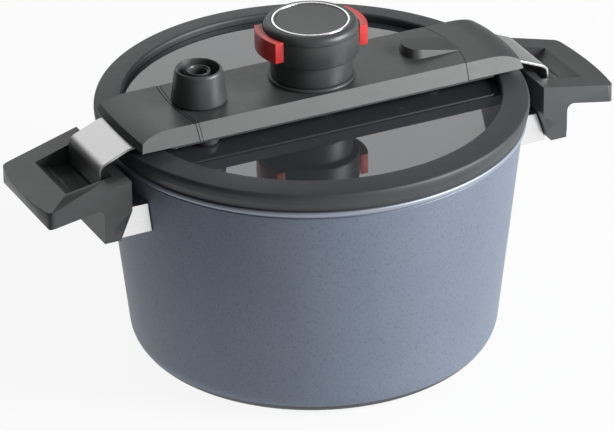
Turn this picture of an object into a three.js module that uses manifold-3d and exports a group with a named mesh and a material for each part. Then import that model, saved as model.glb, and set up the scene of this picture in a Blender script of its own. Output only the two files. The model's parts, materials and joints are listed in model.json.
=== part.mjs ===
// Pressure canner: a cast pot with two drop handles and a glass lid that is held down by a
// cross bar. Turning the knob draws the bar's two steel hooks under ledges in the handles.
// Units are millimetres. +Z is up, +X runs along the bar, and the origin is the middle of the
// pot's underside.
import * as THREE from "three";
import { mergeVertices } from "three/addons/utils/BufferGeometryUtils.js";
import Module from "manifold-3d";

const wasm = await Module();
wasm.setup();

// ---- Driving dimensions ----------------------------------------------------------------
const GAP = 0.3; // between pieces that touch
const POT = {
  footR: 109.4, // where the wall's line meets the floor
  lean: 0.1108, // growth of radius with height
  corner: 17.7,
  wall: 4.2,
  floor: 7,
  creaseZ: 141,
  lipR: 127.3,
  rimZ: 146,
};
const DISC = { r: 90, thick: 1.2 };
const RING = { outerR: 129, skirtR: 126.3, skirtZ: 146.5, innerR: 112.1, innerZ: 160.2 };
const GLASS = { r: 117, bottom: 151.2, top: 155.5 };
const SEAL = { bottom: 139, top: 149, innerR: 114, lipR: 117, outerR: 124.2 };
const HUB = { r: 7.9, flangeR: 17, bottom: 142, flangeZ: 157.4, holeR: 8.3, screwX: 12 };
const BAR = {
  halfLength: 124.2,
  topHalf: 27.7, // half width of the flat top
  footHalf: 33,
  bottom: 162.8,
  top: 172,
  wall: 2,
  droopStart: 105, // the top begins to fall here
  droop: 4.6,
  endBow: 3.2, // how far the right end bows out in its middle
  plateBottom: 161,
  plateTop: 162.5,
  plateEnd: 107,
};
const SEAM = { edge: 87.3, leftBulge: 3, rightBulge: 5.7, half: 30 };
const TONGUE = {
  tip: 60.3,
  cornerX: 62.5, // where its blunt tip turns into its rounded corners
  cornerY: 8,
  sideX: 68.5,
  half: 10.9,
  tipTop: 178.4,
  rootTop: 173.6,
  root: 98,
};
const HOOK = { half: 22, thick: 1.5, insideZ: 164, overRingZ: 161.7, lipX: 146.6, toeZ: 138, toeX: 141.4 };
const GEAR = { module: 0.8, teeth: 16, pressure: THREE.MathUtils.degToRad(20), backlash: 0.16 };
const SPINDLE = { r: 4, bottom: 154.4, top: 194 };
const KNOB = {
  collarR: 25.9,
  pedestalR: 24.4,
  bodyR: 28.4,
  capR: 27.6,
  bodyZ: 188.1,
  capZ: 203,
  top: 208.2,
  trimInner: 21.5,
  trimOuter: 23.6,
};
const WING = { inner: 28.7, outer: 33.3, half: 14.5, bottom: 191.7, top: 204.4 };
const VALVE = { x: -73, baseR: 16.6, topR: 14.2, bottom: 172.4, top: 192.8, tubeR: 6.7, boreR: 5.2 };
const STEM = { r: 4.9, boreR: 2.6, bottom: 144, top: 176.4 };
const HANDLE = {
  innerX: 134.5,
  cornerX: 184.3,
  outerX: 188,
  innerHalf: 39.5,
  outerHalf: 35.2,
  cornerRound: 3.5,
  topZ: 150.5, // at the inner edge
  slope: 0.228, // droop of the grip
  gripThick: 11,
  legBottom: 112.8,
  legOuterX: 151.4,
  legFootX: 141.2,
  legDraft: 2.2,
  fillet: 4, // between the leg and the underside of the grip
  undercut: 3.6, // how far the grip's end leans in below
  openInnerX: 140.5,
  rampX: 150, // the pocket's floor climbs from here
  openOuterX: 168.8,
  openInnerHalf: 25.8,
  openOuterHalf: 22.6,
};
const LATCH = { half: 24, floor: 135.6, ledge: 139.9, backX: 136.1 }; // takes the hook's toe
const BRACKET = { half: 30.5, bottom: 110, top: 129.5, tongueHalf: 14, tongueEnd: 147.5 };
BRACKET.tongueZ = [117.6, 126];
const HANDLE_SCREW_X = 144.4;
const NECK = { half: 16, bottom: 129.9, top: 139.8, innerX: 125.4 };
const FEET = [
  { side: "left", x: -79, y: 22, r: 7.5 },
  { side: "right", x: 68, y: 14, r: 9 },
];
const FACETS = { wide: 40, knob: 24, small: 16 }; // sides of the turned pieces
const SPRING = { from: 88.8, length: 7.4, radius: 1.9, wire: 0.35, turns: 5, z: 167.4 };

// ---- Materials -------------------------------------------------------------------------
const finish = (color, roughness, metalness, more = {}) =>
  new THREE.MeshStandardMaterial({ color, roughness, metalness, ...more });
const potCoat = finish(0x6a7078, 0.5, 0.6);
const steel = finish(0xd0d2d4, 0.25, 1);
const plastic = finish(0x55595b, 0.55, 0);
const redPlastic = finish(0xd24a4a, 0.45, 0);
const silicone = finish(0x4d5255, 0.7, 0);
const glassTint = finish(0x6f7678, 0.05, 0, { transparent: true, opacity: 0.5 });
const brass = finish(0xb8a060, 0.35, 1);

// ---- Shape tools -----------------------------------------------------------------------
const root = new THREE.Group();
root.name = "pressure_canner";

// A closed geometry as a manifold solid, whichever way round its faces were drawn.
function solid(geometry) {
  const bare = geometry.index ? geometry.toNonIndexed() : geometry.clone();
  bare.deleteAttribute("normal");
  bare.deleteAttribute("uv");
  const merged = mergeVertices(bare, 1e-4);
  const triVerts = new Uint32Array(merged.index.array);
  const vertProperties = merged.attributes.position.array;
  const made = new wasm.Manifold(new wasm.Mesh({ numProp: 3, vertProperties, triVerts }));
  if (made.volume() > 0) return made;
  for (let i = 0; i < triVerts.length; i += 3) {
    [triVerts[i + 1], triVerts[i + 2]] = [triVerts[i + 2], triVerts[i + 1]];
  }
  return new wasm.Manifold(new wasm.Mesh({ numProp: 3, vertProperties, triVerts }));
}

function add(name, shape, material) {
  const mesh = shape.getMesh();
  const positions = new Float32Array(mesh.triVerts.length * 3);
  mesh.triVerts.forEach((vertex, i) => {
    const at = vertex * mesh.numProp;
    positions.set(mesh.vertProperties.subarray(at, at + 3), i * 3);
  });
  const geometry = new THREE.BufferGeometry();
  geometry.setAttribute("position", new THREE.BufferAttribute(positions, 3));
  geometry.computeVertexNormals();
  const node = new THREE.Mesh(geometry, material);
  node.name = name;
  root.add(node);
}

const join = (...shapes) => shapes.reduce((a, b) => a.add(b));
const cut = (shape, ...tools) => tools.reduce((a, b) => a.subtract(b), shape);
const moved = (shape, x, y, z = 0) => shape.translate([x, y, z]);
const mirrored = (shape) => shape.mirror([1, 0, 0]);

// Points round an arc in the (r, z) plane, ends included.
function arc(r, z, radius, from, to, steps) {
  return Array.from({ length: steps + 1 }, (_, i) => {
    const a = THREE.MathUtils.degToRad(from + ((to - from) * i) / steps);
    return [r + radius * Math.cos(a), z + radius * Math.sin(a)];
  });
}

// A profile of [radius, height] points turned round Z. It starts and ends on the axis, or
// closes on itself.
function turned(profile, segments = FACETS.knob) {
  const points = profile.map(([r, z]) => new THREE.Vector2(r, z));
  const onAxis = profile[0][0] === 0 && profile.at(-1)[0] === 0;
  if (!onAxis) points.push(points[0].clone());
  return solid(new THREE.LatheGeometry(points, segments).rotateX(Math.PI / 2));
}

const rod = (r, bottom, top, segments = FACETS.small) =>
  turned([[0, bottom], [r, bottom], [r, top], [0, top]], segments);
const tube = (outer, inner, bottom, top, segments = FACETS.knob) =>
  turned([[inner, bottom], [outer, bottom], [outer, top], [inner, top]], segments);

// A plan outline raised from one height to another.
function raised(shape, bottom, top) {
  const depth = top - bottom;
  const geometry = new THREE.ExtrudeGeometry(shape, { depth, bevelEnabled: false, curveSegments: 7 });
  return solid(geometry.translate(0, 0, bottom));
}

// A side outline in (x, z) spread to both sides of the middle plane.
function spread(shape, half) {
  const settings = { depth: 2 * half, bevelEnabled: false, curveSegments: 7 };
  const geometry = new THREE.ExtrudeGeometry(shape, settings);
  return solid(geometry.rotateX(Math.PI / 2).translate(0, half, 0));
}

const outline = (points) => new THREE.Shape(points.map(([x, y]) => new THREE.Vector2(x, y)));

function block(x0, x1, y0, y1, z0, z1) {
  const geometry = new THREE.BoxGeometry(x1 - x0, y1 - y0, z1 - z0);
  return solid(geometry.translate((x0 + x1) / 2, (y0 + y1) / 2, (z0 + z1) / 2));
}

function hexagon(acrossFlats, bottom, top) {
  const r = acrossFlats / 2 / Math.cos(Math.PI / 6);
  return turned([[0, bottom], [r, bottom], [r, top], [0, top]], 6);
}

// The outline of a bent sheet: both sides of a centre line, mitred at its bends.
function sheet(line, thick) {
  const points = line.map(([x, z]) => new THREE.Vector2(x, z));
  const side = (sign) =>
    points.map((p, i) => {
      const before = i > 0 ? p.clone().sub(points[i - 1]).normalize() : null;
      const after = i < points.length - 1 ? points[i + 1].clone().sub(p).normalize() : null;
      const a = before ?? after;
      const b = after ?? before;
      const along = a.clone().add(b).normalize();
      const reach = (sign * thick) / 2 / along.dot(b);
      return new THREE.Vector2(p.x - along.y * reach, p.y + along.x * reach);
    });
  return new THREE.Shape([...side(1), ...side(-1).reverse()]);
}

const wallR = (z) => POT.footR + POT.lean * z;

// ---- Pot -------------------------------------------------------------------------------
function makePot() {
  const lean = THREE.MathUtils.radToDeg(Math.atan(POT.lean));
  const flatR = POT.footR - POT.corner * (1 - POT.lean);
  const innerCorner = POT.corner - POT.wall;
  const inside = arc(flatR, POT.floor + innerCorner, innerCorner, -90, -lean, 5).reverse();
  const topInner = wallR(POT.rimZ) - POT.wall;
  const profile = [
    [0, DISC.thick + GAP],
    [DISC.r + GAP, DISC.thick + GAP],
    [DISC.r + GAP, 0],
    ...arc(flatR, POT.corner, POT.corner, -90, -lean, 6),
    [wallR(POT.creaseZ), POT.creaseZ],
    [wallR(POT.creaseZ) - 0.5, POT.creaseZ + 0.5],
    [POT.lipR, POT.creaseZ + 2.4],
    [POT.lipR, POT.rimZ - 0.8],
    [POT.lipR - 0.8, POT.rimZ],
    [topInner + 0.6, POT.rimZ],
    [topInner, POT.rimZ - 0.6],
    ...inside,
    [0, POT.floor],
  ];
  add("pot_body", turned(profile, FACETS.wide), potCoat);
  add("base_disc", rod(DISC.r, 0, DISC.thick, FACETS.wide), steel);
}

// ---- Handles: the right one is drawn, the left one is its mirror image -------------------
function makeHandles() {
  const topZ = (x) => HANDLE.topZ - HANDLE.slope * (x - HANDLE.innerX);
  const underZ = (x) => topZ(x) - HANDLE.gripThick;
  const filletX = HANDLE.legOuterX + HANDLE.fillet;
  const filletZ = underZ(filletX) - HANDLE.fillet * Math.hypot(1, HANDLE.slope);
  const underSide = 90 - THREE.MathUtils.radToDeg(Math.atan(HANDLE.slope));
  const side = outline([
    [HANDLE.innerX, topZ(HANDLE.innerX)],
    [HANDLE.innerX, 132],
    [HANDLE.legFootX, HANDLE.legBottom],
    [HANDLE.legOuterX, HANDLE.legBottom],
    ...arc(filletX, filletZ, HANDLE.fillet, 180, underSide, 5),
    [HANDLE.outerX - HANDLE.undercut, underZ(HANDLE.outerX - HANDLE.undercut)],
    [HANDLE.outerX, topZ(HANDLE.outerX)],
  ]);
  const plan = new THREE.Shape();
  plan.moveTo(HANDLE.innerX - 10, -HANDLE.innerHalf - 1.2);
  const round = HANDLE.cornerRound;
  const endX = HANDLE.cornerX + 0.2 * round;
  const endY = HANDLE.outerHalf - round;
  plan.lineTo(HANDLE.cornerX - round, -HANDLE.outerHalf - 0.3);
  plan.quadraticCurveTo(HANDLE.cornerX, -HANDLE.outerHalf, endX, -endY);
  plan.quadraticCurveTo(2 * HANDLE.outerX - endX, 0, endX, endY);
  plan.quadraticCurveTo(HANDLE.cornerX, HANDLE.outerHalf, HANDLE.cornerX - round, HANDLE.outerHalf + 0.3);
  plan.lineTo(HANDLE.innerX - 10, HANDLE.innerHalf + 1.2);
  const body = spread(side, HANDLE.innerHalf + 2).intersect(raised(plan, 100, 160));

  // The leg narrows downwards: two wedges take its sides off below the grip.
  const legTop = underZ(HANDLE.legOuterX);
  const wedge = outline([
    [-HANDLE.innerHalf - 5, HANDLE.legBottom - 1],
    [-HANDLE.innerHalf + HANDLE.legDraft, HANDLE.legBottom - 1],
    [-HANDLE.innerHalf, legTop - 6],
    [-HANDLE.innerHalf - 5, legTop - 6],
  ]);
  const wedgeSolid = spread(wedge, 15).rotate([0, 0, 90]);
  const wedges = join(moved(wedgeSolid, 145, 0), moved(wedgeSolid.mirror([0, 1, 0]), 145, 0));

  // Pocket over the leg, whose floor climbs outwards to the top of the grip.
  const opening = new THREE.Shape();
  opening.moveTo(HANDLE.openInnerX, -HANDLE.openInnerHalf);
  opening.lineTo(HANDLE.openOuterX, -HANDLE.openOuterHalf);
  opening.lineTo(HANDLE.openOuterX, HANDLE.openOuterHalf);
  opening.lineTo(HANDLE.openInnerX, HANDLE.openInnerHalf);
  const throat = new THREE.Shape();
  throat.moveTo(HANDLE.openInnerX - 5, 160);
  throat.lineTo(HANDLE.openInnerX - 5, LATCH.floor);
  throat.lineTo(HANDLE.rampX, LATCH.floor);
  throat.quadraticCurveTo(
    HANDLE.openOuterX - 6, LATCH.floor + 0.6,
    HANDLE.openOuterX, topZ(HANDLE.openOuterX),
  );
  throat.lineTo(HANDLE.openOuterX, 160);
  const hollow = raised(opening, 100, 160).intersect(spread(throat, 30));
  const latch = block(
    LATCH.backX, HANDLE.openInnerX + 1,
    -LATCH.half, LATCH.half,
    LATCH.floor, LATCH.ledge,
  );
  const neck = block(
    NECK.innerX, HANDLE.innerX + 0.5,
    -NECK.half, NECK.half,
    NECK.bottom, NECK.top,
  );
  const socket = block(
    HANDLE.innerX - 1, BRACKET.tongueEnd + GAP,
    -BRACKET.tongueHalf - GAP, BRACKET.tongueHalf + GAP,
    BRACKET.tongueZ[0] - GAP, BRACKET.tongueZ[1] + GAP,
  );
  const atScrew = (shape) => moved(shape, HANDLE_SCREW_X, 0);
  const screwHole = atScrew(join(rod(2.3, 105, 124), rod(4.2, 105, HANDLE.legBottom + 2.6)));
  const handle = cut(join(cut(body, wedges), neck), hollow, latch, socket, screwHole);

  // Bracket: a broad polished foot against the wall, with a tongue into the leg.
  const legInner = outline([
    [110, BRACKET.bottom],
    [141.7, BRACKET.bottom],
    [134.2, 132],
    [134.2, BRACKET.top],
    [110, BRACKET.top],
  ]);
  const slab = block(100, 150, -50, 50, BRACKET.bottom, BRACKET.top);
  const foot = spread(legInner, BRACKET.half).intersect(slab);
  const clearOfLeg = cut(foot, spread(outline([
    [HANDLE.innerX - GAP, 140],
    [HANDLE.innerX - GAP, 131.9],
    [HANDLE.legFootX - GAP, HANDLE.legBottom - 0.4],
    [160, HANDLE.legBottom - 0.4],
    [160, 140],
  ]), 50));
  const tongue = block(
    130, BRACKET.tongueEnd,
    -BRACKET.tongueHalf, BRACKET.tongueHalf,
    ...BRACKET.tongueZ,
  );
  const potSolid = turned([
    [0, 90],
    [wallR(90) + GAP, 90],
    [wallR(140) + GAP, 140],
    [0, 140],
  ], 144);
  const bracket = cut(join(clearOfLeg, tongue), potSolid, atScrew(rod(2.2, 112, 127)));
  const head = rod(3.8, HANDLE.legBottom + 0.1, HANDLE.legBottom + 2.2);
  const screw = atScrew(join(head, rod(1.9, HANDLE.legBottom + 1, 124)));

  for (const [where, place] of [["left", mirrored], ["right", (s) => s]]) {
    add("handle_" + where, place(handle), plastic);
    add("bracket_" + where, place(bracket), steel);
    add("handle_screw_" + where, place(screw), steel);
  }
}

// ---- Lid: glass, ring, seal and the hub that carries the bar ------------------------------
function makeLid() {
  const holes = [rod(HUB.holeR, 140, 160), moved(rod(5.3, 140, 160), VALVE.x, 0)];
  const pane = turned([
    [0, GLASS.bottom],
    [GLASS.r - 0.8, GLASS.bottom],
    [GLASS.r, GLASS.bottom + 0.8],
    [GLASS.r, GLASS.top - 0.8],
    [GLASS.r - 0.8, GLASS.top],
    [0, GLASS.top],
  ], FACETS.wide);
  add("lid_glass", cut(pane, ...holes), glassTint);

  const grooveR = GLASS.r + GAP;
  const ring = turned([
    [RING.skirtR - 1.8, RING.skirtZ],
    [RING.skirtR, RING.skirtZ],
    [RING.outerR - 0.5, 152],
    [RING.outerR, 155.6],
    [RING.outerR - 0.5, 157.2],
    [RING.outerR - 2, 158.3],
    [RING.innerR + 1, RING.innerZ],
    [RING.innerR, RING.innerZ - 0.8],
    [RING.innerR, GLASS.top + GAP],
    [grooveR, GLASS.top + GAP],
    [grooveR, GLASS.bottom - GAP],
    [113, GLASS.bottom - GAP],
    [113, SEAL.top + GAP],
    [RING.skirtR - 1.8, SEAL.top + GAP],
  ], FACETS.wide);
  add("lid_ring", ring, silicone);

  const seal = turned([
    [SEAL.lipR, SEAL.bottom],
    [SEAL.lipR + 2.4, SEAL.bottom],
    [SEAL.lipR + 3.1, SEAL.bottom + 1.5],
    [SEAL.lipR + 3.4, POT.rimZ + 0.4],
    [SEAL.outerR, POT.rimZ + 0.4],
    [SEAL.outerR, SEAL.top],
    [SEAL.innerR, SEAL.top],
    [SEAL.innerR, POT.rimZ + 0.8],
    [SEAL.lipR, POT.rimZ + 0.4],
  ], FACETS.wide);
  add("rim_seal", seal, silicone);

  const hub = turned([
    [0, HUB.bottom],
    [HUB.r, HUB.bottom],
    [HUB.r, HUB.flangeZ],
    [HUB.flangeR, HUB.flangeZ],
    [HUB.flangeR, BAR.plateBottom - GAP],
    [SPINDLE.r + 0.25, BAR.plateBottom - GAP],
    [SPINDLE.r + 0.25, SPINDLE.bottom - 0.4],
    [0, SPINDLE.bottom - 0.4],
  ]);
  const screwHoles = [-HUB.screwX, HUB.screwX].map((x) => moved(rod(1.7, 150, 165), x, 0));
  add("lid_hub", cut(hub, ...screwHoles), steel);
  add("hub_gasket_top", tube(16, HUB.holeR, GLASS.top + GAP, HUB.flangeZ - GAP), silicone);
  add("hub_gasket_bottom", tube(13, HUB.holeR, 149.7, GLASS.bottom - GAP), silicone);
  add("hub_nut", cut(hexagon(24, 144.4, 149.4), rod(HUB.r + GAP, 140, 152, FACETS.knob)), steel);

  for (const foot of FEET) {
    for (const [where, y] of [["front", -foot.y], ["back", foot.y]]) {
      const pad = turned([
        [0, GLASS.top + GAP],
        [foot.r - 0.8, GLASS.top + GAP],
        [foot.r, GLASS.top + 1.2],
        [foot.r, BAR.plateBottom - GAP],
        [0, BAR.plateBottom - GAP],
      ], FACETS.small);
      add("foot_" + foot.side + "_" + where, moved(pad, foot.x, y), silicone);
    }
  }
}

// ---- Bar: base plate, cover and two end caps ----------------------------------------------
const SCREWS = [
  ["cover_screw_1", -45, -24],
  ["cover_screw_2", -45, 24],
  ["cover_screw_3", 45, -24],
  ["cover_screw_4", 45, 24],
  ["cap_screw_1", -101, -26.5],
  ["cap_screw_2", -101, 26.5],
];

function seamOutline(extraLeft, extraRight) {
  const left = SEAM.edge + extraLeft;
  const right = SEAM.edge + extraRight;
  const plan = new THREE.Shape();
  plan.moveTo(-left, -60);
  plan.lineTo(right, -60);
  plan.lineTo(right, -SEAM.half);
  plan.quadraticCurveTo(right + 2 * SEAM.rightBulge, 0, right, SEAM.half);
  plan.lineTo(right, 60);
  plan.lineTo(-left, 60);
  plan.lineTo(-left, SEAM.half);
  plan.quadraticCurveTo(-left - 2 * SEAM.leftBulge, 0, -left, -SEAM.half);
  return raised(plan, 150, 190);
}

// The bar's whole outer form, or the same set in by its wall.
function barForm(inset) {
  const end = BAR.halfLength - inset;
  const top = BAR.top - inset;
  const low = BAR.bottom - 2 * inset; // the hollow runs out through the open underside
  const flare = (BAR.footHalf - BAR.topHalf) / (BAR.top - BAR.bottom);
  const halfAt = (z) => BAR.footHalf - inset - flare * (z - BAR.bottom);
  const section = outline([
    [-halfAt(low), low],
    [halfAt(low), low],
    [halfAt(top), top],
    [-halfAt(top), top],
  ]);
  const run = spread(section, BAR.halfLength + BAR.endBow).rotate([0, 0, 90]);
  const side = new THREE.Shape();
  side.moveTo(-end, 150);
  side.lineTo(end + BAR.endBow, 150);
  side.lineTo(end + BAR.endBow, BAR.bottom);
  side.lineTo(end + BAR.endBow - 1.2, top - BAR.droop - 1);
  side.lineTo(end - 1.6, top - BAR.droop);
  side.quadraticCurveTo((end + BAR.droopStart) / 2 + 1, top, BAR.droopStart - 2, top);
  side.lineTo(-BAR.droopStart + 2, top);
  side.quadraticCurveTo(-(end + BAR.droopStart) / 2 - 1, top, -end + 1.6, top - BAR.droop);
  side.lineTo(-end, BAR.bottom);
  const profile = new THREE.ExtrudeGeometry(side, { depth: 80, bevelEnabled: false, curveSegments: 6 });
  const plan = new THREE.Shape();
  plan.moveTo(-end - 2, -60);
  plan.lineTo(end - 0.8, -60);
  plan.lineTo(end - 0.8, -BAR.footHalf);
  plan.quadraticCurveTo(end - 0.8 + 2 * BAR.endBow, 0, end - 0.8, BAR.footHalf);
  plan.lineTo(end - 0.8, 60);
  plan.lineTo(-end - 2, 60);
  const sides = solid(profile.rotateX(Math.PI / 2).translate(0, 40, 0));
  return run.intersect(sides).intersect(raised(plan, 140, 190));
}

function makeBar() {
  const shell = cut(barForm(0), barForm(BAR.wall));
  const bosses = (names) =>
    SCREWS.filter(([name]) => name.startsWith(names)).map(([, x, y]) =>
      moved(rod(2.9, BAR.bottom, BAR.top - 1), x, y),
    );
  const screwHoles = SCREWS.map(([, x, y]) => moved(rod(1.6, 155, BAR.top - 3), x, y));

  const coverHoles = [rod(9, 165, 180), moved(rod(6, 165, 180), VALVE.x, 0)];
  const cover = cut(join(shell, ...bosses("cover")), ...coverHoles, ...screwHoles);
  add("bar_cover", cover.intersect(seamOutline(0, 0)), plastic);

  const leftOnly = block(-140, 0, -60, 60, 150, 190);
  const capLeft = cut(join(shell, ...bosses("cap")), seamOutline(0.5, 0), ...screwHoles);
  add("end_cap_left", capLeft.intersect(leftOnly), plastic);

  // The right cap carries a tongue that lies on the cover and points at the knob.
  const tongueSide = outline([
    [TONGUE.tip, BAR.top + GAP],
    [TONGUE.root, BAR.top + GAP],
    [TONGUE.root, BAR.top - 1],
    [TONGUE.root + 12, BAR.top - 1],
    [TONGUE.root + 4, BAR.top + 0.4],
    [TONGUE.root - 6, TONGUE.rootTop],
    [TONGUE.tip + 3, TONGUE.tipTop],
    [TONGUE.tip + 0.6, TONGUE.tipTop - 1.2],
  ]);
  const tonguePlan = new THREE.Shape();
  tonguePlan.moveTo(TONGUE.sideX, -TONGUE.half);
  tonguePlan.lineTo(120, -TONGUE.half);
  tonguePlan.lineTo(120, TONGUE.half);
  tonguePlan.lineTo(TONGUE.sideX, TONGUE.half);
  tonguePlan.quadraticCurveTo(TONGUE.cornerX + 1.4, TONGUE.half, TONGUE.cornerX, TONGUE.cornerY);
  tonguePlan.quadraticCurveTo(TONGUE.tip, TONGUE.cornerY / 2, TONGUE.tip, 0);
  tonguePlan.quadraticCurveTo(TONGUE.tip, -TONGUE.cornerY / 2, TONGUE.cornerX, -TONGUE.cornerY);
  tonguePlan.quadraticCurveTo(TONGUE.cornerX + 1.4, -TONGUE.half, TONGUE.sideX, -TONGUE.half);
  const tongue = spread(tongueSide, 30).intersect(raised(tonguePlan, 160, 190));
  const postPin = rod(1.2, 0, 5, 12).rotate([0, -90, 0]).translate([97.5, 0, SPRING.z]);
  const springPost = join(block(97, 99, -4, 4, SPRING.z - 2, BAR.top - 1), postPin);
  const capRight = cut(shell, seamOutline(0, 0.35)).intersect(block(0, 140, -60, 60, 150, 190));
  add("end_cap_right", join(capRight, tongue, springPost), plastic);

  const plate = new THREE.Shape();
  const corner = 4;
  const half = BAR.footHalf - 0.8;
  plate.moveTo(-BAR.plateEnd + corner, -half);
  plate.lineTo(BAR.plateEnd - corner, -half);
  plate.quadraticCurveTo(BAR.plateEnd, -half, BAR.plateEnd, -half + corner);
  plate.lineTo(BAR.plateEnd, half - corner);
  plate.quadraticCurveTo(BAR.plateEnd, half, BAR.plateEnd - corner, half);
  plate.lineTo(-BAR.plateEnd + corner, half);
  plate.quadraticCurveTo(-BAR.plateEnd, half, -BAR.plateEnd, half - corner);
  plate.lineTo(-BAR.plateEnd, -half + corner);
  plate.quadraticCurveTo(-BAR.plateEnd, -half, -BAR.plateEnd + corner, -half);
  const plateHoles = [
    rod(4.6, 155, 170),
    moved(rod(5.6, 155, 170), VALVE.x, 0),
    moved(rod(1.7, 155, 170), -HUB.screwX, 0),
    moved(rod(1.7, 155, 170), HUB.screwX, 0),
  ];
  const base = cut(raised(plate, BAR.plateBottom, BAR.plateTop), ...plateHoles, ...screwHoles);
  const anchor = join(
    block(86, 88, -4, 4, BAR.plateTop - 0.2, 169.4),
    rod(1.2, 0, 3, 12).rotate([0, 90, 0]).translate([87.5, 0, SPRING.z]),
  );
  add("bar_base", join(base, anchor), steel);

  const screw = join(rod(2.8, 159.4, BAR.plateBottom - GAP), rod(1.25, 160, 168.2, 12));
  for (const [name, x, y] of SCREWS) add(name, moved(screw, x, y), steel);
  const hubScrew = join(rod(2.4, BAR.plateTop + GAP, 164), rod(1.35, 158, 163.5, 12));
  add("hub_screw_1", moved(hubScrew, -HUB.screwX, 0), steel);
  add("hub_screw_2", moved(hubScrew, HUB.screwX, 0), steel);
}

// ---- Release spring: a short pull coil from the base plate's anchor to the right cap's post -
class Coil extends THREE.Curve {
  constructor(length, radius, turns) {
    super();
    Object.assign(this, { length, radius, turns });
  }
  getPoint(t, target = new THREE.Vector3()) {
    const a = 2 * Math.PI * this.turns * t;
    return target.set(this.length * t, this.radius * Math.cos(a), this.radius * Math.sin(a));
  }
}

function makeSpring() {
  const section = new THREE.Shape();
  section.absarc(0, 0, SPRING.wire, 0, 2 * Math.PI);
  const extrudePath = new Coil(SPRING.length, SPRING.radius, SPRING.turns);
  const geometry = new THREE.ExtrudeGeometry(section, { steps: 40, curveSegments: 3, extrudePath });
  add("release_spring", solid(geometry.translate(SPRING.from, 0, SPRING.z)), steel);
}

// ---- Hooks, pinion and racks ------------------------------------------------------------------
const pitchR = (GEAR.module * GEAR.teeth) / 2;

function gearOutline() {
  const baseR = pitchR * Math.cos(GEAR.pressure);
  const tipR = pitchR + GEAR.module;
  const rootR = pitchR - 1.25 * GEAR.module;
  const inv = (a) => Math.tan(a) - a;
  const halfTooth = Math.PI / (2 * GEAR.teeth) - GEAR.backlash / 2 / pitchR;
  const flank = [rootR, baseR, pitchR, tipR].map((r) => {
    const pressure = r > baseR ? Math.acos(baseR / r) : 0;
    return [r, halfTooth + inv(GEAR.pressure) - inv(pressure)];
  });
  const points = [];
  for (let tooth = 0; tooth < GEAR.teeth; tooth++) {
    const middle = (2 * Math.PI * tooth) / GEAR.teeth;
    const at = (r, angle) => [r * Math.cos(middle + angle), r * Math.sin(middle + angle)];
    points.push(...flank.map(([r, a]) => at(r, -a)));
    points.push(...flank.map(([r, a]) => at(r, a)).reverse());
  }
  return outline(points);
}

// A flat arm with rack teeth on the side that faces the pinion, for the left hook.
function rackArm(reach) {
  const pitch = Math.PI * GEAR.module;
  const top = -pitchR + GEAR.module;
  const bottom = -pitchR - 1.25 * GEAR.module;
  const halfAtPitch = pitch / 4 - GEAR.backlash / 2;
  const slant = Math.tan(GEAR.pressure);
  const halfTop = halfAtPitch - GEAR.module * slant;
  const halfRoot = halfAtPitch + 1.25 * GEAR.module * slant;
  const points = [[-reach, bottom]];
  for (let tooth = -6; tooth < 4; tooth++) {
    const x = (tooth + 0.5) * pitch;
    points.push([x - halfRoot, bottom], [x - halfTop, top], [x + halfTop, top], [x + halfRoot, bottom]);
  }
  points.push([12, bottom], [12, bottom - 6.6], [-reach, bottom - 6.6]);
  return raised(outline(points), HOOK.insideZ - HOOK.thick / 2, HOOK.insideZ + HOOK.thick / 2);
}

function makeHooks() {
  const line = [
    [84, HOOK.insideZ],
    [112.3, HOOK.insideZ],
    [115.6, HOOK.overRingZ],
    [127.4, HOOK.overRingZ],
    [131.5, HOOK.overRingZ - 1.6],
    [143.9, 154.8],
    [HOOK.lipX - 0.5, 152.8],
    [HOOK.lipX, 150.8],
    [HOOK.lipX, HOOK.toeZ],
    [HOOK.toeX, HOOK.toeZ],
  ];
  const plate = spread(sheet(line, HOOK.thick), HOOK.half);
  const springSlot = block(80, 104, -5.4, 5.4, 160, 168);
  const blade = cut(plate, springSlot);
  const arm = rackArm(86);
  add("hook_left", join(mirrored(blade), arm), steel);
  add("hook_right", join(blade, arm.rotate([0, 0, 180])), steel);
  const pinion = cut(raised(gearOutline(), 162.9, 165.2), rod(SPINDLE.r + 0.12, 150, 180));
  add("pinion", pinion, steel);
}

// ---- Knob ------------------------------------------------------------------------------------
function wedgeArc(inner, outer, halfAngle, bottom, top) {
  const shape = new THREE.Shape();
  shape.absarc(0, 0, outer, -halfAngle, halfAngle, false);
  shape.absarc(0, 0, inner, halfAngle, -halfAngle, true);
  return raised(shape, bottom, top);
}

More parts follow.
